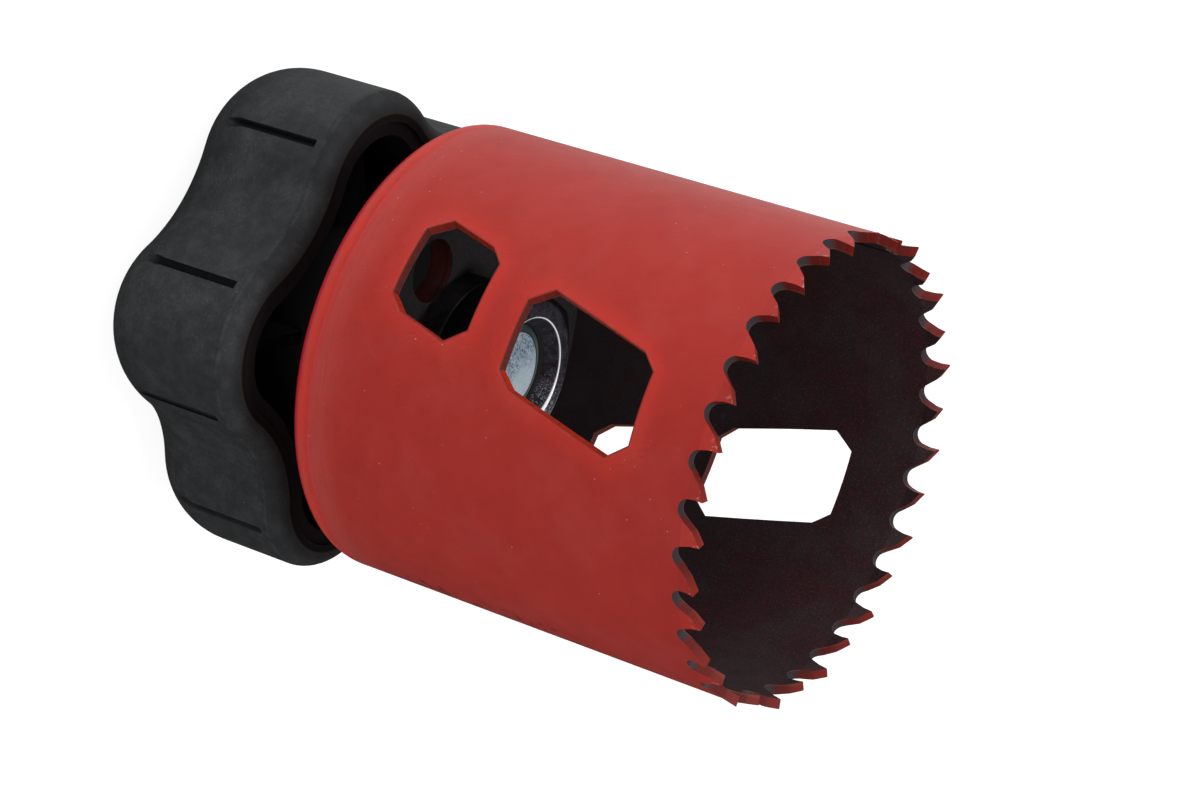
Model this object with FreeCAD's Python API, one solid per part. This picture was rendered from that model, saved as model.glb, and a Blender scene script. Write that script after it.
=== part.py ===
import FreeCAD, Part
import math
import os

from FreeCAD import Vector

# A hand-turned hole saw: a toothed steel cup clamped to a lobed knob.
# It stands on the knob's closed face, which is the plane z = 0.
# The cup's mouth faces up and its axis is the Z axis. Millimetres throughout.

# Knob
knobHeight = 22.2
lobeCount = 5
lobeReach = 29.6
lobeRadius = 11.8
valleyRadius = 15.3
lobeTurn = -72.8
lobeFlatRadius = 2.0
knobWall = 5.0
knobFloor = 5.0
knobRimFillet = 2.6
rimLipWidth = 0.6
rimRecess = 0.35
hubRadius = 13.0
hubStandOut = 6.5
ribWidth = 1.5
ribFlare = 1.6
ribDrop = 3.0
grooveTurn = 16.2
grooveWidth = 0.9
grooveDepth = 0.6
grooveEndGap = 2.9

# Saw cup
cupRadius = 26.6
cupHeight = 53.2
wallThickness = 1.15
plateThickness = 3.0
plateRimHeight = 2.3
plateEdgeRadius = 1.4
pinCount = 4
pinCircleRadius = 12.7
pinHoleRadius = 3.75
pinTurn = -129.0

# Teeth, measured from the tooth tips down
toothCount = 32
toothTurn = 3.15
toothDepth = 2.9
rakeDepth = 1.0
rakeLean = 12.0
gulletRadius = 1.2
kneeBehind = 1.5
kneeDepth = 0.92
tipLand = 0.12
toothSet = 0.4
setHeight = 2.1
toothRoot = 1.0
setPattern = (-1, 1)
jointIndex = 15
jointSlitWidth = 0.3
jointSlitDepth = 6.0
jointSlitOffset = 0.08
jointToothOffset = 0.7
jointToothBase = 0.36
jointToothDrop = 0.3

# Chip windows, two in each slanted row, measured from the tooth tips down
windowRows = 2
windowTurn = -83.52
windowSlant = 0.274
windowHalfWidth = 5.94
largeWindowTop = 10.1
largeWindowBottom = 27.45
smallWindowTop = 32.92
smallWindowBottom = 43.48
acuteCutAcross = 2.6
acuteCutAlong = 2.5
obtuseCutAcross = 1.22
obtuseCutAlong = 1.78

# Clamping bolt, washer and nut
boltRadius = 5.6
boltEndRadius = 4.6
boltEndChamfer = 0.3
boltSeat = 5.0
boltEndDrop = 1.9
threadFit = 0.03
arborFit = 0.8
washerRadius = 9.35
washerThickness = 3.2
washerFit = 0.5
nutFlats = 19.0
nutHeight = 6.9
nutFaceRadius = 8.42
nutChamferAngle = 30.0
nutSinkRadius = 6.89
nutSinkDepth = 2.0
nutTurn = -129.0

# Levels along the axis
plateBottom = knobHeight + hubStandOut
plateTop = plateBottom + plateThickness
tipLevel = plateBottom + cupHeight
nutBottom = plateTop + washerThickness
nutTop = nutBottom + nutHeight
boltTop = nutTop - boltEndDrop

# Sizes that follow from those above
innerRadius = cupRadius - wallThickness
toothPitch = 2 * math.pi * cupRadius / toothCount
arborHoleRadius = boltRadius + arborFit
lobeCentre = lobeReach - lobeRadius
cavityLobeRadius = lobeRadius - knobWall


def polar(radius, degrees, z=0.0):
    angle = math.radians(degrees)
    return Vector(radius * math.cos(angle), radius * math.sin(angle), z)


def turned(shape, degrees):
    copy = shape.copy()
    copy.rotate(Vector(0, 0, 0), Vector(0, 0, 1), degrees)
    return copy


def disc(radius, height, z):
    return Part.makeCylinder(radius, height, Vector(0, 0, z))


def revolved(points):
    wire = Part.makePolygon([Vector(r, 0, z) for r, z in points + points[:1]])
    return Part.Face(wire).revolve(Vector(0, 0, 0), Vector(0, 0, 1), 360)


def edgesAt(shape, z):
    flat = []
    for edge in shape.Edges:
        box = edge.BoundBox
        if abs(box.ZMin - z) < 1e-4 and abs(box.ZMax - z) < 1e-4:
            flat.append(edge)
    return flat


# Lobed outline: convex lobe arcs joined to concave valley arcs, all tangent
def lobedWire(inset, z):
    halfTurn = 180.0 / lobeCount
    along = lobeCentre * math.cos(math.radians(halfTurn))
    across = lobeCentre * math.sin(math.radians(halfTurn))
    valleyCentre = along + math.sqrt((lobeRadius + valleyRadius)**2 - across**2)
    valleyReach = valleyCentre - valleyRadius
    edges = []
    for index in range(lobeCount):
        middle = lobeTurn + index * 2 * halfTurn
        centre = polar(lobeCentre, middle, z)
        nextCentre = polar(lobeCentre, middle + 2 * halfTurn, z)
        hollow = polar(valleyCentre, middle + halfTurn, z)
        before = polar(valleyCentre, middle - halfTurn, z)
        radius = lobeRadius - inset
        start = centre + (before - centre).normalize() * radius
        end = centre + (hollow - centre).normalize() * radius
        following = nextCentre + (hollow - nextCentre).normalize() * radius
        crest = polar(lobeReach - inset, middle, z)
        valley = polar(valleyReach - inset, middle + halfTurn, z)
        edges.append(Part.Arc(start, crest, end).toShape())
        edges.append(Part.Arc(end, valley, following).toShape())
    return Part.Wire(edges)


def lobedPrism(inset, z, height):
    return Part.Face(lobedWire(inset, z)).extrude(Vector(0, 0, height))


def knobGroove(degrees, radius):
    length = knobHeight - grooveEndGap
    groove = Part.makeBox(4 * grooveDepth, grooveWidth, length)
    groove.translate(Vector(radius - grooveDepth, -grooveWidth / 2, 0))
    return turned(groove, degrees)


# A rib that runs from the hub to a lobe and flares where it meets the wall
def knobRib(degrees):
    half = ribWidth / 2
    flareX = lobeCentre + math.sqrt((cavityLobeRadius - ribFlare)**2 - (half + ribFlare)**2)
    flare = Vector(flareX, half + ribFlare, 0)
    lobe = Vector(lobeCentre, 0, 0)
    wall = lobe + (flare - lobe).normalize() * cavityLobeRadius
    middle = flare + ((wall - flare).normalize() + Vector(0, -1, 0)).normalize() * ribFlare
    outside = lobeReach - knobWall / 2
    upper = [Vector(0, half, 0), Vector(flareX, half, 0), middle, wall, Vector(outside, wall.y, 0)]
    lower = [Vector(point.x, -point.y, 0) for point in upper]
    edges = [
        Part.makeLine(upper[0], upper[1]),
        Part.Arc(upper[1], upper[2], upper[3]).toShape(),
        Part.makeLine(upper[3], upper[4]),
        Part.makeLine(upper[4], lower[4]),
        Part.makeLine(lower[4], lower[3]),
        Part.Arc(lower[3], lower[2], lower[1]).toShape(),
        Part.makeLine(lower[1], lower[0]),
        Part.makeLine(lower[0], upper[0]),
    ]
    rib = Part.Face(Part.Wire(edges)).extrude(Vector(0, 0, knobHeight - ribDrop))
    return turned(rib, degrees)


def buildKnob():
    body = lobedPrism(0, 0, knobHeight)
    body = body.makeFillet(lobeRadius - lobeFlatRadius, edgesAt(body, 0))
    body = body.makeFillet(knobRimFillet, edgesAt(body, knobHeight))
    body = body.cut(lobedPrism(knobRimFillet + rimLipWidth, knobHeight - rimRecess, knobHeight))
    cavity = lobedPrism(knobWall, knobFloor, knobHeight)
    cavity = cavity.makeFillet(cavityLobeRadius - lobeFlatRadius, edgesAt(cavity, knobFloor))
    ribs = [knobRib(lobeTurn + index * 360.0 / lobeCount) for index in range(lobeCount)]
    hub = disc(hubRadius, plateBottom, 0)
    cavity = cavity.cut(Part.makeCompound(ribs + [hub]))
    shell = body.cut(cavity)
    knob = shell.fuse(disc(hubRadius, plateBottom - knobFloor / 2, knobFloor / 2))
    cosGroove = math.cos(math.radians(grooveTurn))
    sinGroove = math.sin(math.radians(grooveTurn))
    flank = lobeCentre * cosGroove + math.sqrt(lobeRadius**2 - (lobeCentre * sinGroove)**2)
    grooves = []
    for index in range(lobeCount):
        crest = lobeTurn + index * 360.0 / lobeCount
        grooves.append(knobGroove(crest - grooveTurn, flank))
        grooves.append(knobGroove(crest + grooveTurn, flank))
    knob = knob.cut(Part.makeCompound(grooves))
    knob = knob.cut(disc(boltRadius, plateBottom, boltSeat))
    return knob.removeSplitter()


# One chip window as a cutter whose sides run along radii
def windowCutter(top, bottom, degrees):
    low = -bottom
    high = -top
    left = -windowHalfWidth
    right = windowHalfWidth
    corners = [
        (left + windowSlant * low + acuteCutAcross, low),
        (left + windowSlant * (low + acuteCutAlong), low + acuteCutAlong),
        (left + windowSlant * (high - obtuseCutAlong), high - obtuseCutAlong),
        (left + windowSlant * high + obtuseCutAcross, high),
        (right + windowSlant * high - acuteCutAcross, high),
        (right + windowSlant * (high - acuteCutAlong), high - acuteCutAlong),
        (right + windowSlant * (low + obtuseCutAlong), low + obtuseCutAlong),
        (right + windowSlant * low - obtuseCutAcross, low),
    ]
    middle = windowSlant * (low + high) / 2
    wires = []
    for reach in (innerRadius * 0.8, cupRadius * 1.2):
        points = []
        for arc, z in corners:
            across = reach * math.tan((arc - middle) / cupRadius)
            points.append(Vector(reach, across, tipLevel + z))
        wires.append(Part.makePolygon(points + points[:1]))
    cutter = Part.makeLoft(wires, True, True)
    return turned(cutter, degrees + math.degrees(middle / cupRadius))


# Gap between two teeth: hooked rake face, round bottom, back with a knee near the tip
def gulletCutter():
    lean = math.radians(rakeLean)
    rakeEnd = Vector(0, 0, -rakeDepth)
    centreZ = gulletRadius - toothDepth
    run = (-rakeDepth - centreZ + gulletRadius * math.sin(lean)) / math.cos(lean)
    enter = Vector(run * math.sin(lean), 0, -rakeDepth - run * math.cos(lean))
    centre = Vector(enter.x + gulletRadius * math.cos(lean), 0, centreZ)
    tip = Vector(toothPitch - tipLand, 0, 0)
    knee = Vector(tip.x - kneeBehind, 0, -kneeDepth)
    reach = math.hypot(knee.x - centre.x, knee.z - centre.z)
    slope = math.atan2(knee.z - centre.z, knee.x - centre.x)
    touch = slope - math.acos(gulletRadius / reach)
    leave = Vector(centre.x + gulletRadius * math.cos(touch), 0, centre.z + gulletRadius * math.sin(touch))
    lowest = Vector(centre.x, 0, -toothDepth)
    rise = 1.0
    edges = [
        Part.makeLine(Vector(0, 0, rise), rakeEnd),
        Part.makeLine(rakeEnd, enter),
        Part.Arc(enter, lowest, leave).toShape(),
        Part.makeLine(leave, knee),
        Part.makeLine(knee, tip),
        Part.makeLine(tip, Vector(tip.x, 0, rise)),
        Part.makeLine(Vector(tip.x, 0, rise), Vector(0, 0, rise)),
    ]
    face = Part.Face(Part.Wire(edges))
    cutter = face.extrude(Vector(0, 4 * wallThickness, 0))
    cutter.translate(Vector(-toothPitch / 2, -2 * wallThickness, 0))
    # The profile's X runs round the cup, so it is turned to lie along Y
    cutter.rotate(Vector(0, 0, 0), Vector(0, 0, 1), 90)
    cutter.translate(Vector(cupRadius - wallThickness / 2, 0, tipLevel))
    return cutter


# The part of the wall that carries one tooth, leaning out or in by its set
def toothSegment(lean):
    bend = tipLevel - setHeight
    foot = tipLevel - toothDepth - toothRoot
    profile = [
        (innerRadius, foot),
        (cupRadius, foot),
        (cupRadius, bend),
        (cupRadius + lean, tipLevel),
        (innerRadius + lean, tipLevel),
        (innerRadius, bend),
    ]
    wire = Part.makePolygon([Vector(r, 0, z) for r, z in profile + profile[:1]])
    step = 360.0 / toothCount
    sector = Part.Face(wire).revolve(Vector(0, 0, 0), Vector(0, 0, 1), step)
    sector = turned(sector, -step / 2)
    cutter = gulletCutter()
    return sector.cut(Part.makeCompound([turned(cutter, step / 2), turned(cutter, -step / 2)]))


def buildTeeth():
    shapes = {lean: toothSegment(lean * toothSet) for lean in set(setPattern)}
    teeth = []
    for index in range(toothCount):
        lean = setPattern[index % len(setPattern)]
        teeth.append(turned(shapes[lean], toothTurn + index * 360.0 / toothCount))
    return teeth


# Where the strip's two ends meet, the last tooth is cut short beside a slit
def jointTooth():
    low = tipLevel - toothDepth - jointToothDrop
    high = tipLevel - jointToothDrop
    across = toothPitch * (jointToothOffset - jointToothBase)
    inside = innerRadius - wallThickness
    outline = Part.makePolygon([
        Vector(inside, 0, low),
        Vector(inside, 0, high),
        Vector(inside, -across, low),
        Vector(inside, 0, low),
    ])
    prism = Part.Face(outline).extrude(Vector(3 * wallThickness, 0, 0))
    ring = disc(cupRadius, toothDepth, low).cut(disc(innerRadius, toothDepth, low))
    turn = toothTurn + (jointIndex + jointToothOffset) * 360.0 / toothCount
    return turned(prism.common(ring), turn)


def jointSlit():
    slit = Part.makeBox(4 * wallThickness, jointSlitWidth, jointSlitDepth)
    slit.translate(Vector(cupRadius - 2 * wallThickness, -jointSlitWidth / 2, tipLevel - jointSlitDepth))
    return turned(slit, toothTurn + (jointIndex + jointSlitOffset) * 360.0 / toothCount)


def buildPlate():
    rim = disc(cupRadius, plateRimHeight, plateBottom)
    rim = rim.makeFillet(plateEdgeRadius, edgesAt(rim, plateBottom))
    plate = rim.fuse(disc(innerRadius, plateThickness - plateRimHeight / 2, plateBottom + plateRimHeight / 2))
    holes = [disc(arborHoleRadius, plateThickness, plateBottom)]
    for index in range(pinCount):
        place = polar(pinCircleRadius, pinTurn + index * 360.0 / pinCount, plateBottom)
        holes.append(Part.makeCylinder(pinHoleRadius, plateThickness, place))
    return plate.cut(Part.makeCompound(holes)).removeSplitter()


def buildBand():
    low = plateBottom + plateRimHeight
    height = tipLevel - toothDepth - toothRoot - low
    wall = disc(cupRadius, height, low).cut(disc(innerRadius, height, low))
    band = wall.fuse(buildTeeth() + [jointTooth()]).removeSplitter()
    holes = [jointSlit()]
    for row in range(windowRows):
        degrees = windowTurn + row * 360.0 / windowRows
        holes.append(windowCutter(largeWindowTop, largeWindowBottom, degrees))
        holes.append(windowCutter(smallWindowTop, smallWindowBottom, degrees))
    return band.cut(Part.makeCompound(holes))


def buildBolt():
    return revolved([
        (0, boltSeat),
        (boltRadius, boltSeat),
        (boltRadius, boltTop - boltEndChamfer),
        (boltEndRadius, boltTop),
        (0, boltTop),
    ])


def buildWasher():
    ring = disc(washerRadius, washerThickness, plateTop)
    return ring.cut(disc(boltRadius + washerFit, washerThickness, plateTop))


def buildNut():
    corner = nutFlats / 2 / math.cos(math.radians(30))
    points = [polar(corner, nutTurn + 30 + 60 * index, nutBottom) for index in range(6)]
    prism = Part.Face(Part.makePolygon(points + points[:1])).extrude(Vector(0, 0, nutHeight))
    drop = (corner + 1 - nutFaceRadius) * math.tan(math.radians(nutChamferAngle))
    trim = revolved([
        (0, nutBottom),
        (nutFaceRadius, nutBottom),
        (corner + 1, nutBottom + drop),
        (corner + 1, nutTop - drop),
        (nutFaceRadius, nutTop),
        (0, nutTop),
    ])
    bore = boltRadius + threadFit
    hole = revolved([
        (0, nutBottom),
        (nutSinkRadius, nutBottom),
        (bore, nutBottom + nutSinkDepth),
        (bore, nutTop - nutSinkDepth),
        (nutSinkRadius, nutTop),
        (0, nutTop),
    ])
    return prism.common(trim).cut(hole)


def save(name, shape):
    if not shape.isValid():
        raise ValueError(name + " is not a valid solid")
    shape.exportStep("parts/" + name + ".step")


os.makedirs("parts", exist_ok=True)
save("lobed_knob", buildKnob())
save("back_plate", buildPlate())
save("toothed_band", buildBand())
save("clamp_bolt", buildBolt())
save("thick_washer", buildWasher())
save("hex_nut", buildNut())
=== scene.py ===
import math
from types import SimpleNamespace

import bpy
from mathutils import Matrix, Vector


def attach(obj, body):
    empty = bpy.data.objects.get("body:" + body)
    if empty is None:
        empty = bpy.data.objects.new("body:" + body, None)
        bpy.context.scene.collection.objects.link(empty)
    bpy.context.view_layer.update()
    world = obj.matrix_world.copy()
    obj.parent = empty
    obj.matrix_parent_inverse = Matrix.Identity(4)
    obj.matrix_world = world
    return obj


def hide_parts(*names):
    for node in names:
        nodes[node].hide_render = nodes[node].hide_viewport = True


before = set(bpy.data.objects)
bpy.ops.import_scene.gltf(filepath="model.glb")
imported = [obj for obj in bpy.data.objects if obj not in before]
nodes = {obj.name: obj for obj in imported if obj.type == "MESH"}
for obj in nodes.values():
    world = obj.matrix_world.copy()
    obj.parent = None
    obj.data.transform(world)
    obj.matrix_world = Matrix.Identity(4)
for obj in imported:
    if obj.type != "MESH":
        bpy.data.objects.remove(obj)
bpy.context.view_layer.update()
print("frame loaded with", len(nodes), "nodes")

mm = 0.001


# Lowest and highest level of a CAD node and its reach from the axis, in millimetres
def span(node):
    points = [vertex.co / mm for vertex in nodes[node].data.vertices]
    levels = [point.z for point in points]
    return min(levels), max(levels), max(point.xy.length for point in points)


tipLevel = span("toothed_band")[1]
plateBottom, plateTop, cupRadius = span("back_plate")
washerBottom, washerTop, washerRadius = span("thick_washer")
nutTop = span("hex_nut")[1]
boltRadius = span("clamp_bolt")[2]
wallThickness = 1.15
innerRadius = cupRadius - wallThickness

# Up and left in the photograph, as directions in the frame
pictureUp = (-0.95, -0.154, -0.27)
pictureLeft = (0.31, -0.47, -0.83)


# Shader maths: a Signal is one output socket, and a Graph is the node tree of a material or the sky

class Signal:
    def __init__(self, graph, socket):
        self.graph = graph
        self.socket = socket

    def __add__(self, other):
        return self.graph.math("ADD", self, other)

    def __radd__(self, other):
        return self.graph.math("ADD", other, self)

    def __sub__(self, other):
        return self.graph.math("SUBTRACT", self, other)

    def __rsub__(self, other):
        return self.graph.math("SUBTRACT", other, self)

    def __mul__(self, other):
        return self.graph.math("MULTIPLY", self, other)

    def __rmul__(self, other):
        return self.graph.math("MULTIPLY", other, self)

    def __truediv__(self, other):
        return self.graph.math("DIVIDE", self, other)

    def __rtruediv__(self, other):
        return self.graph.math("DIVIDE", other, self)

    def __abs__(self):
        return self.graph.math("ABSOLUTE", self)

    def atLeast(self, other):
        return self.graph.math("MAXIMUM", self, other)

    def atMost(self, other):
        return self.graph.math("MINIMUM", self, other)

    # 0 at the first value and 1 at the second, smooth between them
    def rise(self, start, end):
        return self.graph.add(
            "ShaderNodeMapRange",
            {"interpolation_type": "SMOOTHSTEP"},
            {"Value": self, "From Min": start, "From Max": end},
        )

    # Another output of the same node
    def output(self, key):
        return Signal(self.graph, self.socket.node.outputs[key])


class Graph:
    def __init__(self, owner):
        owner.use_nodes = True
        self.owner = owner
        self.tree = owner.node_tree
        self.tree.nodes.clear()

    def add(self, kind, settings=None, inputs=None, output=0):
        node = self.tree.nodes.new(kind)
        for name, value in (settings or {}).items():
            setattr(node, name, value)
        for key, value in (inputs or {}).items():
            socket = node.inputs[key]
            if isinstance(value, Signal):
                self.tree.links.new(value.socket, socket)
            elif socket.type == "RGBA":
                socket.default_value = (*value, 1.0)
            else:
                socket.default_value = value
        return Signal(self, node.outputs[output]) if node.outputs else None

    def math(self, operation, *values):
        return self.add("ShaderNodeMath", {"operation": operation}, dict(enumerate(values)))

    def vector(self, operation, *values, output="Vector"):
        return self.add("ShaderNodeVectorMath", {"operation": operation}, dict(enumerate(values)), output)

    # Object coordinates in millimetres
    def place(self):
        metres = self.add("ShaderNodeTexCoord", output="Object")
        return self.vector("DIVIDE", metres, (mm, mm, mm))

    def normal(self):
        return self.add("ShaderNodeTexCoord", output="Normal")

    def split(self, signal):
        first = self.add("ShaderNodeSeparateXYZ", inputs={0: signal})
        return [first.output(index) for index in range(3)]

    def joined(self, x, y, z):
        return self.add("ShaderNodeCombineXYZ", inputs={0: x, 1: y, 2: z})

    def length(self, x, y):
        return self.math("SQRT", x * x + y * y)

    def noise(self, where, size, detail=2.0, roughness=0.5, distortion=0.0):
        inputs = {"Scale": 1.0 / size, "Detail": detail, "Roughness": roughness, "Distortion": distortion}
        return self.add("ShaderNodeTexNoise", inputs={"Vector": where, **inputs})

    # Scattered cells: the distance from a cell's middle, and three numbers that each cell has to itself
    def cells(self, where, spacing, settings=None):
        distance = self.add("ShaderNodeTexVoronoi", settings, {"Vector": where, "Scale": 1.0 / spacing})
        return distance, self.split(distance.output("Color"))

    # Round specks: 1 inside a speck, with only the given share of the cells holding one
    def specks(self, where, spacing, radius, share):
        distance, own = self.cells(where, spacing)
        width = radius / spacing * (0.4 + own[1] * 0.9)
        return (distance / width).rise(1.0, 0.55) * own[0].rise(1.0 - share - 0.001, 1.0 - share)

    # Thin straight marks on a flat or unrolled surface, turned from the second axis by an angle
    def scratches(self, across, along, degrees, width, length, share):
        turn = math.radians(degrees)
        u = across * math.cos(turn) - along * math.sin(turn)
        v = across * math.sin(turn) + along * math.cos(turn)
        wander = self.noise(self.joined(across, along, 0.0), length * 0.7, detail=0.0) * (4 * width)
        where = self.joined((u + wander) / width, v / length, degrees)
        distance, own = self.cells(where, 1.0, {"voronoi_dimensions": "2D"})
        return distance.rise(0.5, 0.1) * own[0].rise(1.0 - share - 0.0005, 1.0 - share)

    def mix(self, amount, first, second):
        return self.add("ShaderNodeMix", {"data_type": "RGBA"}, {0: amount, 6: first, 7: second}, output=2)

    # Coats of colour over a first one, each through its own mask
    def layers(self, colour, *coats):
        for mask, coat in coats:
            colour = self.mix(mask, colour, coat)
        return colour

    def bump(self, height, distance):
        return self.add("ShaderNodeBump", inputs={"Height": height, "Distance": distance * mm})

    def paint(self, constants, **links):
        inputs = {name.replace("_", " "): value for name, value in {**constants, **links}.items()}
        return self.add("ShaderNodeBsdfPrincipled", inputs=inputs)

    def glow(self, strength):
        return self.add("ShaderNodeEmission", inputs={"Color": (1, 1, 1), "Strength": strength})

    def blend(self, amount, first, second):
        return self.add("ShaderNodeMixShader", inputs={0: amount, 1: first, 2: second})

    def finish(self, shader, kind="ShaderNodeOutputMaterial"):
        self.add(kind, inputs={"Surface": shader})
        return self.owner


# The red saw cup: painted outside, dark and speckled inside, cut edges thinly covered

redPaint = {
    "colour": (0.478, 0.0285, 0.0190),
    "deepColour": (0.405, 0.0220, 0.0155),
    "freshColour": (0.640, 0.0370, 0.0230),
    "seamColour": (0.620, 0.0200, 0.0240),
    "hazeColour": (0.560, 0.0950, 0.0850),
    "dustColour": (0.72, 0.36, 0.33),
    "markColour": (0.60, 0.13, 0.12),
    "darkDotColour": (0.10, 0.012, 0.010),
    "chipColour": (0.70, 0.55, 0.52),
    "wallLineColour": (0.090, 0.018, 0.012),
    "roughness": 0.42,
    "gloss": 0.28,
    "orangePeel": 0.024,
    "weldLevel": plateTop - 0.55,
    "seamLevel": plateTop - 0.35,
    "scuffPlace": (-6.0, 50.0),
}

cutEdge = {
    # The walls' red paint as a painted-light copy and a painted-shade copy
    "wallPaintedLightColour": (0.46, 0.026, 0.008),
    "wallPaintedShadeColour": (0.125, 0.023, 0.018),
    "lineColour": redPaint["wallLineColour"],
    "dustColour": redPaint["dustColour"],
    # The teeth's red paint as a painted-light copy and a darker copy, used for painted shade and for grain
    "toothPaintedLightColour": (0.185, 0.0105, 0.0060),
    "toothShadeAndGrainColour": (0.095, 0.0095, 0.0080),
    "bareSteelColour": (0.040, 0.046, 0.054),
    "lipColour": (0.36, 0.17, 0.09),
    "roughness": 0.45,
    "gloss": 0.22,
    "grainDepth": 0.03,
    "toothZone": (4.4, 4.0),
    "bareZone": (1.95, 2.75),
}

cupInside = {
    "colour": (0.0370, 0.0185, 0.0205),
    "greyColour": (0.0385, 0.0260, 0.0285),
    "deepColour": (0.055, 0.046, 0.050),
    "stainColour": (0.016, 0.010, 0.011),
    "redSpeck": (0.26, 0.010, 0.012),
    "blueSpeck": (0.110, 0.130, 0.160),
    "roughness": 0.50,
    "gloss": 0.14,
    "grainDepth": 0.03,
    "deepFrom": tipLevel - 18.0,
    "deepTo": plateTop + 8.0,
}

# The joint in the strip: a slit beside a tooth, between two depths under the tips
jointSlit = {
    "colour": (0.0030, 0.0026, 0.0026),
    "turn": 172.8,
    "sides": (0.36, 0.24),
    "start": (2.2, 2.6),
    "end": (6.6, 6.3),
    "wallSides": (0.60, 0.40),
    "wallStart": (2.6, 3.0),
}

# A row of windows: top and bottom of each below the tips, and how far the corners are cut off
windowPlace = {
    "turn": -83.52,
    "slant": 0.274,
    "halfWidth": 5.94,
    "large": (10.1, 27.45),
    "small": (32.92, 43.48),
    "acuteNormal": (0.693, 0.721),
    "acuteCut": 2.5,
    "obtuseNormal": (0.825, -0.565),
    "obtuseCut": 1.78,
}


# Distance outside a window's outline on the unrolled wall, in millimetres
def windowDistance(across, level, top, bottom):
    halfWidth = windowPlace["halfWidth"]
    halfHeight = (bottom - top) / 2
    u = across - (level - tipLevel) * windowPlace["slant"]
    v = level - (tipLevel - (top + bottom) / 2)

    def corner(normal, cut):
        reach = abs(normal[0]) * halfWidth + abs(normal[1]) * (halfHeight - cut)
        return abs(u * normal[0] + v * normal[1]) - reach

    acute = corner(windowPlace["acuteNormal"], windowPlace["acuteCut"])
    obtuse = corner(windowPlace["obtuseNormal"], windowPlace["obtuseCut"])
    return (abs(u) - halfWidth).atLeast(abs(v) - halfHeight).atLeast(acute).atLeast(obtuse)


# What the cup's finishes follow: arc is the way round the wall, depth is below the tips,
# near is the distance to the next window and joint the distance to the slit, in millimetres
def cupPlaces(graph):
    place = graph.place()
    x, y, z = graph.split(place)
    arc = graph.math("ARCTAN2", y, x) * cupRadius
    halfTurn = math.pi * cupRadius
    start = math.radians(windowPlace["turn"]) * cupRadius
    across = graph.math("WRAP", arc - start + halfTurn / 2, halfTurn, 0.0) - halfTurn / 2
    large = windowDistance(across, z, *windowPlace["large"])
    small = windowDistance(across, z, *windowPlace["small"])
    return SimpleNamespace(
        place=place,
        radius=graph.length(x, y),
        arc=arc,
        z=z,
        depth=tipLevel - z,
        near=large.atMost(small),
        joint=abs(arc - math.radians(jointSlit["turn"]) * cupRadius),
        cloudy=graph.noise(place, 3.4, detail=3.0, roughness=0.55),
    )


# The weld's uneven bead, which the band and the plate share
def weldBead(graph, place, z):
    return abs(z - redPaint["weldLevel"]).rise(0.40, 0.0) * (0.5 + graph.noise(place, 0.7))


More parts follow.
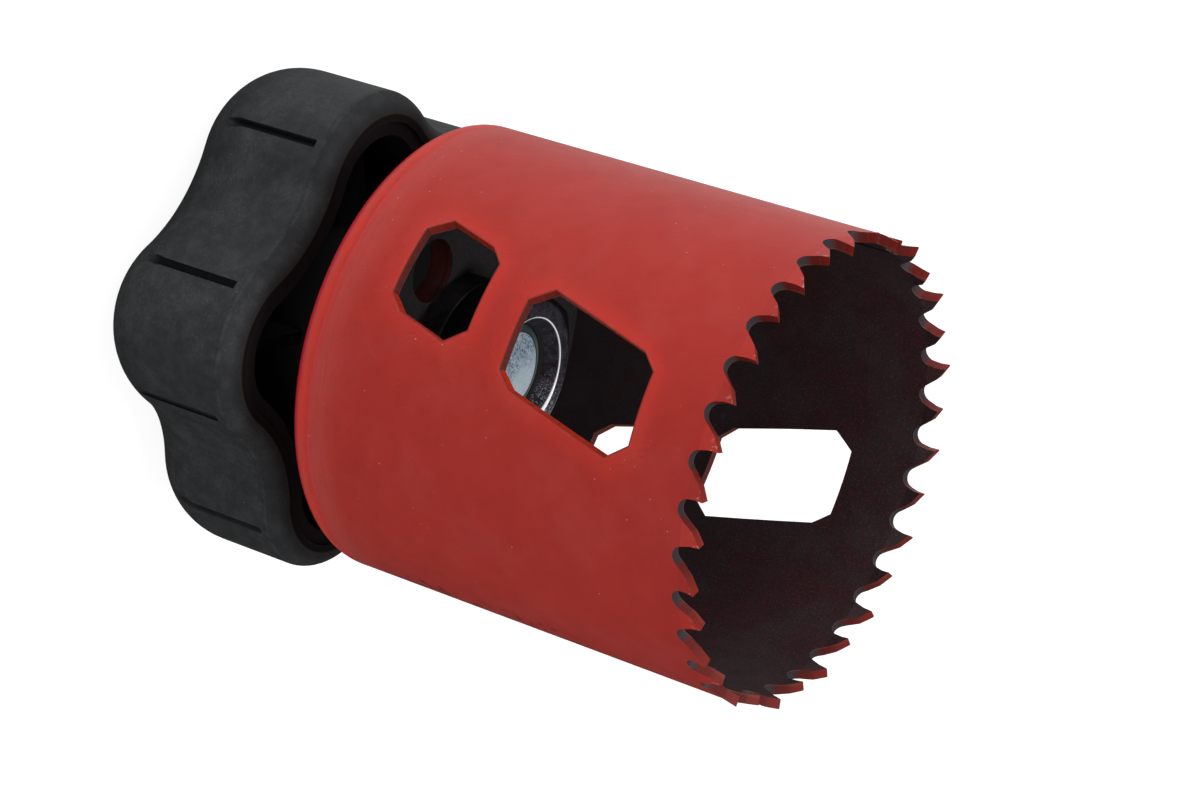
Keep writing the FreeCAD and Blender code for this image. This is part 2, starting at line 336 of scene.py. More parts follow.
# Outside: satin paint with dust, scratches and pale streaks at the weld
def paintedWall(graph, cup, look):
    place, arc, z, near = cup.place, cup.arc, cup.z, cup.near
    broad = graph.noise(place, 16.0, detail=1.0)
    fine = graph.noise(place, 0.30)
    haze = graph.noise(place, 7.0, detail=3.0, roughness=0.6).rise(0.42, 0.66)

    # The end towards the plate was rubbed down round the weld
    turned = graph.noise(graph.joined(arc * 0.09, z * 2.2, 0.0), 0.60)
    backEnd = z.rise(plateTop + 4.3, plateTop + 0.1)
    seam = abs(z - look["seamLevel"]).rise(0.45, 0.10) * (0.55 + graph.noise(place, 1.4, detail=1.0) * 0.6)
    bubbles = graph.specks(place, 0.85, 0.13, 0.45) * abs(z - plateTop).rise(1.1, 0.5)

    # Wear round the windows, near the tips and where the cup is held
    worn = near.rise(0.60, 0.25) * graph.noise(place, 1.6).rise(0.46, 0.66)
    rubbed = near.rise(7.0, 2.0) * graph.noise(place, 5.0, detail=1.0).rise(0.50, 0.66)
    streakPlace = graph.joined((arc + z * 0.5) * 2.4, (z - arc * 0.5) * 0.35, 0.0)
    streaks = graph.noise(streakPlace, 1.0).rise(0.52, 0.72) * rubbed
    tipChips = cup.depth.rise(1.3, 0.3) * graph.noise(place, 0.50).rise(0.55, 0.62)
    scuffArc, scuffLevel = look["scuffPlace"]
    scuffZone = abs(arc - scuffArc).rise(3.0, 1.5) * abs(z - scuffLevel).rise(15.0, 11.0)
    scuffNoise = graph.noise(graph.joined(arc * 0.25, z * 0.35, 0.0), 0.45, roughness=0.7)
    scuff = scuffNoise.rise(0.56, 0.60) * scuffZone

    dust = graph.specks(place, 1.4, 0.080, 0.75)
    lint = graph.specks(place, 0.60, 0.045, 0.20)
    dots = graph.specks(place, 3.8, 0.16, 0.55)
    marks = graph.scratches(arc, z, 38.0, 0.07, 3.0, 0.0016)
    marks = marks.atLeast(graph.scratches(arc, z, -24.0, 0.06, 2.2, 0.0014))

    colour = graph.layers(
        look["colour"],
        (cup.cloudy.rise(0.30, 0.80) * 0.55 + broad.rise(0.45, 0.75) * 0.25, look["deepColour"]),
        (near.rise(3.0, 0.1) * 0.55, look["freshColour"]),
        (cup.depth.rise(11.0, 2.5) * 0.35, look["deepColour"]),
        (haze * 0.12, look["hazeColour"]),
        (backEnd * (0.34 + turned.rise(0.46, 0.62) * 0.08), look["hazeColour"]),
        (backEnd * turned.rise(0.46, 0.34) * 0.14, look["deepColour"]),
        (seam.atMost(1.0) * 0.40, look["seamColour"]),
        (worn * 0.22, look["hazeColour"]),
        (near.rise(0.24, 0.06) * 0.60, look["wallLineColour"]),
        (streaks * 0.25, look["deepColour"]),
        (marks * 0.40, look["markColour"]),
        (dust * 0.80 + lint * 0.28, look["dustColour"]),
        (dots * 0.75, look["darkDotColour"]),
        (fine.rise(0.35, 0.80) * 0.12, look["deepColour"]),
        (scuff * 0.65, look["darkDotColour"]),
        (tipChips * 0.32, look["chipColour"]),
    )
    height = graph.noise(place, 0.55, detail=1.0) * 0.6 + graph.noise(place, 2.6, detail=1.0) * 1.5
    height = height + near.rise(1.6, 0.0) * 1.8 + dust * 0.6 - marks * 0.8 - dots + streaks * 0.8
    height = height + weldBead(graph, place, z) * 1.5 + bubbles * 1.6
    height = height + turned * z.rise(plateTop + 2.5, plateTop + 0.9) * 1.2
    return graph.paint(
        {"Specular_IOR_Level": look["gloss"]},
        Base_Color=colour,
        Roughness=look["roughness"] + cup.cloudy * 0.08 + dust * 0.2 + marks * 0.1,
        Normal=graph.bump(height, look["orangePeel"]),
    )


# Inside: bare dark steel under a mist of red and bluish drops
def speckledWall(graph, cup, look):
    place, depth, cloudy = cup.place, cup.depth, cup.cloudy
    haze = graph.noise(place, 9.0, roughness=0.6).rise(0.40, 0.62)
    redDrops = graph.specks(place, 0.50, 0.12, 0.45)
    redMist = (graph.noise(place, 0.17, detail=1.0) + (1 - haze) * 0.04).rise(0.60, 0.70)
    bluePlace = graph.vector("ADD", place, (31.0, 7.0, 13.0))
    blueMist = (graph.noise(bluePlace, 0.18, detail=1.0) + haze * 0.05).rise(0.61, 0.71)
    slitEnds = depth.rise(*jointSlit["start"]) * depth.rise(*jointSlit["end"])
    slit = cup.joint.rise(*jointSlit["sides"]) * slitEnds
    smudge = cup.joint.rise(1.1, 0.2) * abs(depth - 6.4).rise(1.5, 0.4) * cloudy.rise(0.44, 0.54)
    colour = graph.layers(
        look["colour"],
        (haze * 0.8, look["greyColour"]),
        (cup.z.rise(look["deepFrom"], look["deepTo"]), look["deepColour"]),
        (cloudy.rise(0.30, 0.80) * 0.35, look["stainColour"]),
        (redDrops * 0.16 + redMist * 0.30, look["redSpeck"]),
        (blueMist * 0.18, look["blueSpeck"]),
        (slit.atLeast(smudge * 0.8), jointSlit["colour"]),
    )
    return graph.paint(
        {"Specular_IOR_Level": look["gloss"]},
        Base_Color=colour,
        Roughness=look["roughness"] + cloudy * 0.15,
        Normal=graph.bump(graph.noise(place, 0.20) + redDrops * 0.6, look["grainDepth"]),
    )


# Cut edges: paint thins out towards the bottoms of the gullets, where the steel shows; walls and teeth
# that face up or left carry painted light, the others painted shade
def cutWall(graph, cup, normal, look):
    radius, depth = cup.radius, cup.depth
    grain = graph.noise(graph.joined(cup.arc, cup.z, radius * 0.05), 0.20, detail=1.0)
    # Painted light on walls whose normal faces pictureUp or pictureLeft
    up = graph.vector("DOT_PRODUCT", normal, pictureUp, output="Value")
    left = graph.vector("DOT_PRODUCT", normal, pictureLeft, output="Value")
    lit = up.rise(-0.20, 0.40).atLeast(left.rise(-0.70, 0.60) * 0.85)
    outerLip = radius.rise(cupRadius - 0.16, cupRadius - 0.05)
    innerLip = radius.rise(innerRadius + 0.09, innerRadius + 0.02)
    chips = graph.specks(cup.place, 1.9, 0.16, 0.35)
    bare = (depth + cup.cloudy * 0.7 - 0.35).rise(*look["bareZone"])
    slitWall = cup.joint.rise(*jointSlit["wallSides"]) * depth.rise(*jointSlit["end"])
    # Window walls: painted shade as the base, painted light where they face up or left, with grain, a dark
    # outer line, dust and chips
    window = graph.layers(
        look["wallPaintedShadeColour"],
        (lit, look["wallPaintedLightColour"]),
        (grain.rise(0.38, 0.68) * 0.40, look["toothShadeAndGrainColour"]),
        (outerLip * 0.6, look["lineColour"]),
        (innerLip * 0.15 + chips * 0.50, look["dustColour"]),
    )
    # Teeth: painted shade as the base, painted light where they face up or left and a little near the
    # tips, with grain, bare steel and chips
    tooth = graph.layers(
        look["toothShadeAndGrainColour"],
        (lit * 0.7, look["toothPaintedLightColour"]),
        (grain.rise(0.38, 0.68) * 0.55, look["toothShadeAndGrainColour"]),
        (depth.rise(1.6, 0.1) * 0.25, look["wallPaintedLightColour"]),
        (bare * 0.82, look["bareSteelColour"]),
        (innerLip * (0.08 + depth.rise(1.7, 2.2) * 0.32) + chips * 0.4, look["lipColour"]),
    )
    toothZone = depth.rise(*look["toothZone"])
    colour = graph.layers(
        window,
        (toothZone, tooth),
        (slitWall * depth.rise(*jointSlit["wallStart"]), jointSlit["colour"]),
    )
    return graph.paint(
        {"Specular_IOR_Level": look["gloss"]},
        Base_Color=colour,
        Roughness=look["roughness"] + grain * 0.12,
        Metallic=bare * toothZone * 0.2,
        Normal=graph.bump(grain, look["grainDepth"]),
    )


def makeCupPaint():
    graph = Graph(bpy.data.materials.new("cupPaint"))
    cup = cupPlaces(graph)
    x, y, z = graph.split(cup.place)
    normal = graph.normal()
    nx, ny, nz = graph.split(normal)
    outward = (nx * x + ny * y) / cup.radius
    outside = paintedWall(graph, cup, redPaint)
    inside = speckledWall(graph, cup, cupInside)
    cut = cutWall(graph, cup, normal, cutEdge)
    wall = graph.blend(outward.rise(-0.30, -0.55), outside, inside)
    return graph.finish(graph.blend(abs(outward).rise(0.86, 0.70), wall, cut))


# The back plate: the same red outside, dark grained paint on the face inside the cup

plateFace = {
    "edgeColour": (0.560, 0.0150, 0.0330),
    "boreColour": (0.130, 0.022, 0.019),
    "deepBoreColour": (0.080, 0.018, 0.017),
    "faceColour": (0.024, 0.021, 0.023),
    "grainColour": (0.046, 0.041, 0.044),
    "speckColour": cupInside["redSpeck"],
    "roughness": 0.55,
    "gloss": 0.20,
    "grainDepth": 0.04,
    "boreReach": 21.0,
}


def makePlatePaint(look, red):
    graph = Graph(bpy.data.materials.new("platePaint"))
    place = graph.place()
    x, y, z = graph.split(place)
    nz = graph.split(graph.normal())[2]
    radius = graph.length(x, y)
    cloudy = graph.noise(place, 3.2, detail=3.0, roughness=0.55)
    grain = graph.noise(place, 0.28)
    dust = graph.specks(place, 1.3, 0.075, 0.5)
    worn = z.rise(plateBottom + 2.2, plateBottom + 1.2) * radius.rise(cupRadius - 2.6, cupRadius - 1.4)
    bore = radius.rise(look["boreReach"], look["boreReach"] - 1.0) * abs(nz).rise(0.6, 0.3)
    boreColour = graph.mix(cloudy.rise(0.3, 0.7), look["boreColour"], look["deepBoreColour"])
    colour = graph.layers(
        red["freshColour"],
        (cloudy.rise(0.35, 0.75) * 0.6, red["colour"]),
        (worn * (0.10 + cloudy.rise(0.3, 0.7) * 0.35), red["hazeColour"]),
        (z.rise(plateBottom + 1.2, plateBottom + 0.8), look["edgeColour"]),
        (dust * 0.6, red["dustColour"]),
        (bore, boreColour),
    )
    peel = graph.noise(place, 0.55, detail=1.0) * 0.7 + graph.noise(place, 2.4, detail=1.0) * 1.6
    outside = graph.paint(
        {"Specular_IOR_Level": red["gloss"]},
        Base_Color=colour,
        Roughness=red["roughness"] + cloudy * 0.10,
        Normal=graph.bump(peel + weldBead(graph, place, z) * 1.5, red["orangePeel"]),
    )
    face = graph.paint(
        {"Specular_IOR_Level": look["gloss"]},
        Base_Color=graph.layers(
            look["faceColour"],
            (grain.rise(0.35, 0.70) * 0.6, look["grainColour"]),
            (graph.specks(place, 0.8, 0.09, 0.4) * 0.4, look["speckColour"]),
        ),
        Roughness=look["roughness"] + cloudy * 0.1,
        Normal=graph.bump(grain, look["grainDepth"]),
    )
    faceZone = nz.rise(0.6, 0.9) * z.rise(plateTop - 0.25, plateTop - 0.1)
    return graph.finish(graph.blend(faceZone, outside, face))


# The hand knob: moulded black plastic with dust and scuffs from handling, and painted shade in its
# grooves, on its rim and in its hollow

knobPlastic = {
    "colour": (0.0275, 0.0292, 0.0316),
    "paleColour": (0.058, 0.060, 0.063),
    "dustColour": (0.165, 0.170, 0.176),
    # The next three are painted shade: on the rim's turn, on the rim face and in its step
    "filletShadeColour": (0.0085, 0.0086, 0.0092),
    "rimShadeColour": (0.0082, 0.0066, 0.0078),
    "rimStepShadowColour": (0.0040, 0.0034, 0.0034),
    "rimLineColour": (0.030, 0.021, 0.015),
    # The next three are painted shade: in the grooves and in the hollow
    "grooveShadeColour": (0.0060, 0.0060, 0.0062),
    "hollowShadeColour": (0.0120, 0.0120, 0.0120),
    "hollowTopShadeColour": (0.0022, 0.0022, 0.0022),
    "roughness": 0.60,
    "gloss": 0.40,
    "faceRoughness": 0.75,
    "faceGloss": 0.14,
    "hollowRoughness": 0.70,
    "hollowGloss": 0.08,
    "grainDepth": 0.035,
}

# The knob's outline, its grip grooves and its rim round the hollow
knobPlace = {
    "lobes": 5,
    "lobeTurn": -72.8,
    "lobeCentre": 17.8,
    "lobeRadius": 11.8,
    "valleyRadius": 15.3,
    "valleyCentre": 39.4,
    "grooveTurn": 16.2,
    "grooveStart": (5.2, 8.2),
    "grooveEnd": (19.6, 19.4),
    "rimTop": (19.6, 20.4),
    "dustLevel": 20.35,
    "rimInset": 2.2,
    "stepInset": (-3.2, -2.7),
    "wall": 4.92,
}


# Coordinates along and beside the nearest lobe's middle line
def foldedPlace(graph, x, y):
    half = math.pi / knobPlace["lobes"]
    angle = graph.math("ARCTAN2", y, x) - math.radians(knobPlace["lobeTurn"])
    folded = abs(graph.math("WRAP", angle, half, -half))
    radius = graph.length(x, y)
    return radius * graph.math("COSINE", folded), radius * graph.math("SINE", folded)


# Distance outside the knob's lobed outline
def lobedDistance(graph, u, v):
    half = math.pi / knobPlace["lobes"]
    centre = knobPlace["lobeCentre"]
    valleyX = knobPlace["valleyCentre"] * math.cos(half)
    valleyY = knobPlace["valleyCentre"] * math.sin(half)
    lobe = graph.length(u - centre, v) - knobPlace["lobeRadius"]
    valley = knobPlace["valleyRadius"] - graph.length(u - valleyX, v - valleyY)
    beyond = (v * (valleyX - centre) - (u - centre) * valleyY).rise(-0.01, 0.01)
    return lobe * (1 - beyond) + valley * beyond


# Painted shade in the grip grooves beside each lobe's middle, darkest on the side that faces pictureUp
def paintedGrooveShade(graph, x, y, z, u, v, reach):
    turn = math.radians(knobPlace["grooveTurn"])
    beside = abs(v * math.cos(turn) - u * math.sin(turn))
    facingUp = ((x * pictureUp[0] + y * pictureUp[1]) / graph.length(x, y)).rise(-0.50, 0.15)
    ends = z.rise(*knobPlace["grooveStart"]) * z.rise(*knobPlace["grooveEnd"])
    return beside.rise(0.60, 0.50) * reach.rise(-0.06, -0.16) * ends * (0.45 + facingUp * 0.55)


def makeKnobPlastic(look):
    graph = Graph(bpy.data.materials.new("knobPlastic"))
    place = graph.place()
    x, y, z = graph.split(place)
    nz = graph.split(graph.normal())[2]
    u, v = foldedPlace(graph, x, y)
    reach = lobedDistance(graph, u, v)
    mottle = graph.noise(place, 1.8, detail=5.0, roughness=0.68)
    patch = graph.noise(place, 9.0, detail=3.0, roughness=0.6)
    grain = graph.noise(place, 0.22)
    dust = graph.specks(place, 0.70, 0.06, 0.55)
    lint = graph.specks(place, 2.0, 0.11, 0.6)
    rubs = graph.scratches(x + y, z, 62.0, 0.06, 3.0, 0.004)
    rubs = rubs.atLeast(graph.scratches(x - y, z, -15.0, 0.05, 2.0, 0.004))
    powder = graph.noise(place, 0.40, detail=3.0, roughness=0.7).rise(0.47, 0.72) * patch.rise(0.34, 0.62)

    # The rim turns over to a flat face with a step and fine lines, and dust lies along its edge; painted
    # shade darkens the turn, the step and the rim face, and a painted highlight lies in pale patches on
    # the turn
    rimTop = z.rise(*knobPlace["rimTop"])
    # Painted shade on the rim's turn, set by how far it faces along the axis
    turnShade = nz.rise(-0.02, 0.10) * 0.30 - nz.rise(0.15, 0.40) * 0.12 + nz.rise(0.70, 1.0) * 0.35
    # Painted highlight in pale patches where the turn faces partly upward
    turnPaintedLight = nz.rise(0.25, 0.50) * nz.rise(0.99, 0.80) * patch.rise(0.40, 0.65)
    dustLine = abs(z - knobPlace["dustLevel"] - (patch - 0.5) * 1.2).rise(0.34, 0.05)
    rimInset, wall = knobPlace["rimInset"], knobPlace["wall"]
    rimLine = abs(reach + rimInset).rise(0.20, 0.05) * (0.35 + mottle * 0.6)
    # Painted shade on the rim face, a painted shadow in the step, and fine lines at its edges
    rim = graph.layers(
        look["rimShadeColour"],
        (reach.rise(*knobPlace["stepInset"]), look["rimStepShadowColour"]),
        (abs(reach + wall).rise(0.25, 0.0) * (0.3 + mottle * 0.4), look["rimLineColour"]),
    )
    colour = graph.layers(
        look["colour"],
        (mottle.rise(0.36, 0.72) * 0.45 + patch.rise(0.42, 0.70) * 0.40, look["paleColour"]),
        (dust * 0.35 + lint * 0.45 + rubs * 0.14 + powder * 0.16, look["dustColour"]),
        (paintedGrooveShade(graph, x, y, z, u, v, reach), look["grooveShadeColour"]),
        # Painted shade: darker towards the rim
        (z.rise(9.0, 19.0) * 0.10, look["filletShadeColour"]),
        (turnShade * rimTop, look["filletShadeColour"]),
        (turnPaintedLight * rimTop * 0.22, look["paleColour"]),
        (dustLine * mottle.rise(0.30, 0.60) * 0.10, look["dustColour"]),
        (reach.rise(-rimInset, -rimInset - 0.2) * rimTop, rim),
        (rimLine * rimTop, look["rimLineColour"]),
    )
    outside = graph.paint(
        {"Specular_IOR_Level": look["gloss"]},
        Base_Color=colour,
        Roughness=look["roughness"] + (mottle - 0.5) * 0.25 + dust * 0.1,
        Normal=graph.bump(grain + mottle * 1.6 - rubs * 0.6 + dust * 0.5, look["grainDepth"]),
    )
    face = graph.paint(
        {"Specular_IOR_Level": look["faceGloss"]},
        Base_Color=colour,
        Roughness=look["faceRoughness"] + mottle * 0.1,
        Normal=graph.bump(grain + mottle * 1.2, look["grainDepth"]),
    )
    # Painted shade in the hollow, darkest on its upward faces, the rib tops among them
    ribTopShade = nz.rise(0.3, 0.7) * z.rise(25.0, 24.0)
    inside = graph.paint(
        {"Specular_IOR_Level": look["hollowGloss"]},
        Base_Color=graph.mix(ribTopShade, look["hollowShadeColour"], look["hollowTopShadeColour"]),
        Roughness=look["hollowRoughness"] + grain * 0.1,
        Normal=graph.bump(grain, look["grainDepth"]),
    )
    shell = graph.blend(nz.rise(-0.02, 0.12) * rimTop, outside, face)
    hollow = reach.rise(0.17 - wall, -wall) * z.rise(3.5, 4.6)
    return graph.finish(graph.blend(hollow, shell, inside))


# The bolt's end: blotched zinc plating with painted light on one side, and a few turns of thread in the
# nut's sink, in painted shade on the side towards pictureUp

boltZinc = {
    "colour": (0.57, 0.75, 0.91),
    # Painted light on the paler side of the end
    "paleColour": (0.79, 0.92, 1.00),
    "wornColour": (0.130, 0.145, 0.165),
    "stainColour": (0.40, 0.31, 0.22),
    "roughness": 0.45,
    "metallic": 0.15,
    "gloss": 0.50,
    "pitDepth": 0.02,
    "stainPlace": (1.1, -1.8, 39.9),
    "boreColour": (0.040, 0.055, 0.058),
    "threadColour": (0.170, 0.215, 0.225),
    "threadRadius": 5.25,
    "endRadius": 4.6,
    "grainAlong": (0.72, 0.70),
    "edge": 0.06,
    "edgeAngle": 20,
}


def makeZinc(look):
    graph = Graph(bpy.data.materials.new("zincPlate"))
    place = graph.place()
    x, y, z = graph.split(place)
    radius = graph.length(x, y)
    alongX, alongY = look["grainAlong"]
    along = x * alongX + y * alongY
    side = y * alongX - x * alongY
    pitPlace = graph.joined(along * 0.55, side, z)
    wormPlace = graph.joined(along * 0.6, side, z)
    hairPlace = graph.joined(along, side * 0.5, z + 9.0)
    pits = graph.noise(pitPlace, 0.24, detail=3.0, roughness=0.7, distortion=0.9)
    worms = abs(graph.noise(wormPlace, 0.42, roughness=0.6, distortion=0.6) - 0.5).rise(0.044, 0.012)
    hairs = abs(graph.noise(hairPlace, 0.50, roughness=0.6, distortion=0.8) - 0.5).rise(0.036, 0.010)
    crowd = (along.rise(3.2, -2.8) + (graph.noise(place, 1.5) - 0.5) * 1.2).rise(0.10, 0.75)
    worn = (pits + crowd * 0.10).rise(0.62, 0.72)
    worn = worn.atLeast(worms.atLeast(hairs) * (0.15 + crowd * 0.75))
    distance = graph.vector("DISTANCE", place, look["stainPlace"], output="Value")
    stain = (distance + (pits - 0.5) * 1.6).rise(0.70, 0.35)
    endRadius = look["endRadius"]
    thread = radius.rise(endRadius + 0.02, endRadius + 0.12)
    line = abs(radius - endRadius - 0.10).rise(0.14, 0.04)
    # The thread shows except on the side towards pictureUp, which keeps the dark bore colour as painted
    # shade
    turnsOutOfShade = abs(radius - look["threadRadius"]).rise(0.40, 0.20) * x.rise(-boltRadius, -3.4)
    turns = graph.mix(turnsOutOfShade, look["boreColour"], look["threadColour"])
    colour = graph.layers(
        look["colour"],
        # Painted light: paler towards one side of the end
        (along.rise(-2.0, 3.5), look["paleColour"]),
        (worn * 0.95, look["wornColour"]),
        (stain * 0.75, look["stainColour"]),
        (thread, turns),
        (line * 0.8, look["boreColour"]),
    )
    return graph.finish(graph.paint(
        {"Metallic": look["metallic"], "Specular_IOR_Level": look["gloss"]},
        Base_Color=colour,
        Roughness=look["roughness"] + worn * 0.2,
        Normal=graph.bump(pits, look["pitDepth"]),
    ))


# The nut: dark plain steel with painted glint specks, painted highlights round its sink and along its
# face's outer edge, the first also glowing, and a chamfer in painted shade

nutSteel = {
    "colour": (0.092, 0.080, 0.102),
    "darkColour": (0.026, 0.023, 0.030),
    # Painted shade on the chamfer
    "chamferShadeColour": (0.0060, 0.0052, 0.0055),
    # Painted glint specks
    "paintedGlintColour": (0.90, 0.94, 1.00),
    # A painted highlight round the sink and along the face's edge, and the glow of its middle
    "ringHighlightColour": (1.00, 1.00, 1.00),
    "ringHighlightGlow": (0.46, 0.48, 0.50),
    "boreColour": boltZinc["boreColour"],
    "brownColour": (0.040, 0.029, 0.026),
    "roughness": 0.24,
    "metallic": 0.45,
    "gloss": 0.60,
    "grainDepth": 0.015,
    "boreZone": (5.80, 5.70),
    "brownZone": (6.05, 5.75),
    "ringRadius": 6.88,
    "rimRadius": 8.60,
    "chamferZone": (8.72, 8.90),
    "edge": 0.13,
    "edgeAngle": 20,
}


def makeNutSteel(look):
    graph = Graph(bpy.data.materials.new("nutSteel"))
    place = graph.place()
    x, y, z = graph.split(place)
    radius = graph.length(x, y)
    mottle = graph.noise(place, 1.1, detail=3.0, roughness=0.6)
    # low grows away from pictureUp; the painted glint specks, the painted highlights and the chamfer's
    # painted shade follow it
    low = (x * pictureUp[0] + y * pictureUp[1]).rise(1.0, -6.0)
    # Painted glint specks and bright specks, gathering on the low side
    paintedGlints = (graph.noise(place, 0.15, detail=1.0) + low * 0.07).rise(0.63, 0.71)
    paintedFlecks = graph.noise(place, 0.30).rise(0.50, 0.66) * low * 0.65
    bore = radius.rise(*look["boreZone"])
    brown = radius.rise(*look["brownZone"]) * z.rise(nutTop - 3.0, nutTop - 2.2) * (0.4 + mottle * 0.5)
    # Painted shade on the chamfer, lighter towards the low side
    chamfer = radius.rise(*look["chamferZone"]) * (1 - low * 0.7)
    # Painted highlight round the sink, wider on the low side, whose middle also glows
    fromRing = abs(radius - look["ringRadius"]) - low * 0.11
    ringTop = z.rise(nutTop - 0.5, nutTop - 0.2)
    ringHighlight = fromRing.rise(0.13, 0.05) * ringTop * (0.65 + low * 0.35)
    ringGlowCore = fromRing.rise(0.08, 0.01) * ringTop
    # Painted highlight along the face's outer edge, on the low side
    rim = abs(radius - look["rimRadius"]).rise(0.26, 0.08) * z.rise(nutTop - 0.6, nutTop - 0.3) * low * 0.6
    colour = graph.layers(
        look["colour"],
        (mottle.rise(0.35, 0.70), look["darkColour"]),
        (paintedGlints * (0.22 + low * 0.60) + paintedFlecks, look["paintedGlintColour"]),
        (chamfer * 0.85, look["chamferShadeColour"]),
        (bore, look["boreColour"]),
        (brown, look["brownColour"]),
        (ringHighlight.atLeast(rim), look["ringHighlightColour"]),
    )
    # The emission makes the painted highlight round the sink glow
    return graph.finish(graph.paint(
        {"Specular_IOR_Level": look["gloss"], "Emission_Strength": 1.0},
        Base_Color=colour,
        Roughness=look["roughness"] + mottle * 0.2,
        Metallic=look["metallic"] * (1 - ringHighlight) - bore * 0.4,
        Emission_Color=graph.mix(ringGlowCore.atLeast(rim * 0.4), (0, 0, 0), look["ringHighlightGlow"]),
        Normal=graph.bump(graph.noise(place, 0.22), look["grainDepth"]),
    ))


# The washer: dark steel, with a painted highlight along its two corners

washerSteel = {
    "colour": (0.030, 0.026, 0.027),
    "paleColour": (0.055, 0.050, 0.054),
    # Painted highlight along the corners
    "cornerHighlightColour": (0.26, 0.24, 0.235),
    "roughness": 0.42,
    "metallic": 0.20,
    "gloss": 0.40,
    "grainDepth": 0.02,
    "edge": 0.18,
    "edgeAngle": 40,
}


def makeWasherSteel(look):
    graph = Graph(bpy.data.materials.new("washerSteel"))
    place = graph.place()
    x, y, z = graph.split(place)
    mottle = graph.noise(place, 0.9, detail=3.0, roughness=0.6)
    brim = graph.length(x, y).rise(washerRadius - 0.22, washerRadius - 0.10)
    middle = (washerBottom + washerTop) / 2
    half = (washerTop - washerBottom) / 2
    # Painted highlight along the two corners at the washer's rim
    corner = abs(abs(z - middle) - half).rise(0.26, 0.10) * brim * (0.3 + mottle)
    colour = graph.layers(
        look["colour"],
        (mottle.rise(0.35, 0.70), look["paleColour"]),
        (corner.atMost(1.0) * 0.7, look["cornerHighlightColour"]),
    )
    return graph.finish(graph.paint(
        {"Metallic": look["metallic"], "Specular_IOR_Level": look["gloss"]},
        Base_Color=colour,
        Roughness=look["roughness"] + mottle * 0.2,
        Normal=graph.bump(graph.noise(place, 0.3), look["grainDepth"]),
    ))


# How a copy of a CAD node is cleaned and rounded: distances in millimetres, angles in degrees
softening = {
    "mergeDistance": 0.002,
    "flatAngle": 0.3,
    "smoothAngle": 24,
    "segments": 3,
}


# A copy of a CAD node with its sharp edges broken, so that they catch the light
def softened(node, name, look, material):
    bpy.ops.object.select_all(action="DESELECT")
    piece = bpy.data.objects.new(name, nodes[node].data.copy())
    bpy.context.scene.collection.objects.link(piece)
    piece.select_set(True)
    bpy.context.view_layer.objects.active = piece
    bpy.ops.object.mode_set(mode="EDIT")
    bpy.ops.mesh.select_all(action="SELECT")
    bpy.ops.mesh.remove_doubles(threshold=softening["mergeDistance"] * mm)
    bpy.ops.mesh.dissolve_limited(angle_limit=math.radians(softening["flatAngle"]))
    bpy.ops.object.mode_set(mode="OBJECT")
    edge = piece.modifiers.new("edge", "BEVEL")
    edge.width = look["edge"] * mm
    edge.segments = softening["segments"]
    edge.limit_method = "ANGLE"
    edge.angle_limit = math.radians(look["edgeAngle"])
    bpy.ops.object.modifier_apply(modifier="edge")
    bpy.ops.object.shade_smooth_by_angle(angle=math.radians(softening["smoothAngle"]))
    piece.data.materials.clear()
    piece.data.materials.append(material)
    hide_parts(node)
    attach(piece, "root")


def dress(node, material):
    materials = nodes[node].data.materials
    for index in range(len(materials)):
        materials[index] = material


dress("toothed_band", makeCupPaint())
dress("back_plate", makePlatePaint(plateFace, redPaint))
dress("lobed_knob", makeKnobPlastic(knobPlastic))
print("cup, plate and knob dressed")

softened("clamp_bolt", "clampBolt", boltZinc, makeZinc(boltZinc))
softened("thick_washer", "thickWasher", washerSteel, makeWasherSteel(washerSteel))
softened("hex_nut", "hexNut", nutSteel, makeNutSteel(nutSteel))
print("bolt, washer and nut softened")


# Stage: a white floor, a soft key from the side, a gentle fill and a small lamp above, in metres

studio = {
    "key": {"place": (-0.60, -0.20, 0.26), "size": 0.50, "power": 1.66},
    "fill": {"place": (0.42, -0.52, 0.34), "size": 0.50, "power": 0.74},
    "top": {"place": (-0.04, -0.12, 0.74), "size": 0.24, "power": 1.60},
    "aim": (0, 0, 0.045),
    "skyLevel": 0.545,
    "skyGloss": 0.20,
    "skySeen": 1.0,
    "floorRadius": 12.0,
    "floorWhite": 0.90,
    "floorGlossBright": 0.85,
    "floorGlossDark": 0.06,
    "floorGlossTurn": (-15.0, -80.0),
    "paperColour": (0.62, 0.62, 0.62),
    "shadowColour": (0.30, 0.30, 0.30),
}


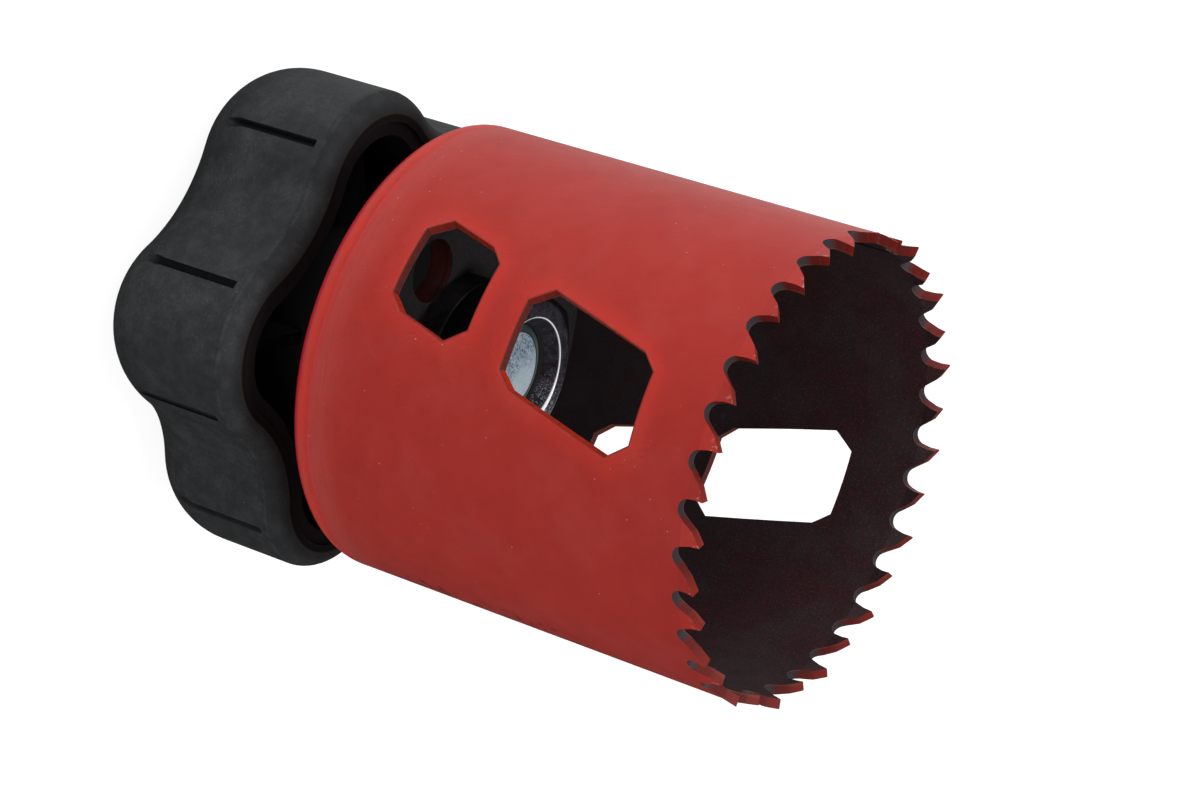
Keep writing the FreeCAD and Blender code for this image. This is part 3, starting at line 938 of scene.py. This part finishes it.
# The floor is white where the camera sees it, and keeps the shadow through a thin grey
def makeFloor(look):
    bpy.ops.object.select_all(action="DESELECT")
    bpy.ops.mesh.primitive_circle_add(vertices=96, radius=look["floorRadius"], fill_type="NGON")
    floor = bpy.context.active_object
    floor.name = "floor"
    graph = Graph(bpy.data.materials.new("floorWhite"))
    x = graph.split(graph.place())[0]
    camera = graph.add("ShaderNodeLightPath", output="Is Camera Ray")
    paper = graph.add("ShaderNodeBsdfDiffuse", inputs={"Color": look["paperColour"]})
    shadow = graph.add("ShaderNodeBsdfDiffuse", inputs={"Color": look["shadowColour"]})
    seen = graph.add("ShaderNodeAddShader", inputs={0: shadow, 1: graph.glow(look["floorWhite"])})
    dark = graph.glow(look["floorGlossDark"])
    mirrored = graph.blend(x.rise(*look["floorGlossTurn"]), dark, graph.glow(look["floorGlossBright"]))
    unseen = graph.blend(camera.output("Is Glossy Ray"), paper, mirrored)
    floor.data.materials.append(graph.finish(graph.blend(camera, unseen, seen)))


def makeLamp(name, place, size, power):
    data = bpy.data.lights.new(name, "AREA")
    data.shape = "SQUARE"
    data.size = size
    data.energy = power
    lamp = bpy.data.objects.new(name, data)
    lamp.location = place
    aim = Vector(studio["aim"]) - lamp.location
    lamp.rotation_euler = aim.to_track_quat("-Z", "Y").to_euler()
    bpy.context.scene.collection.objects.link(lamp)


# The sky is white to the camera, dim in reflections and soft on everything else
def makeSky(look):
    world = bpy.data.worlds.new("sky")
    bpy.context.scene.world = world
    graph = Graph(world)
    camera = graph.add("ShaderNodeLightPath", output="Is Camera Ray")
    plain, gloss, white = [
        graph.add("ShaderNodeBackground", inputs={"Color": (1, 1, 1), "Strength": look[level]})
        for level in ("skyLevel", "skyGloss", "skySeen")
    ]
    unseen = graph.blend(camera.output("Is Glossy Ray"), plain, gloss)
    graph.finish(graph.blend(camera, unseen, white), "ShaderNodeOutputWorld")


makeFloor(studio)
for name in ("key", "fill", "top"):
    makeLamp(name, **studio[name])
makeSky(studio)
print("stage set")

# The photograph's own view: tilted up from straight down, and rolled so that the cup points right
view = {
    "place": (0.0, -0.32455, 0.23615),
    "tilt": 60.43,
    "roll": 108.155,
    "lens": 99.35,
    "nearest": 0.01,
    "farthest": 50.0,
}

camera = bpy.data.objects.new("camera", bpy.data.cameras.new("camera"))
bpy.context.scene.collection.objects.link(camera)
camera.location = view["place"]
tilt = Matrix.Rotation(math.radians(view["tilt"]), 3, "X")
roll = Matrix.Rotation(math.radians(view["roll"]), 3, "Z")
camera.rotation_euler = (tilt @ roll).to_euler()
camera.data.lens = view["lens"]
camera.data.clip_start = view["nearest"]
camera.data.clip_end = view["farthest"]
bpy.context.scene.camera = camera
bpy.context.scene.view_settings.view_transform = "Standard"
print("camera set")
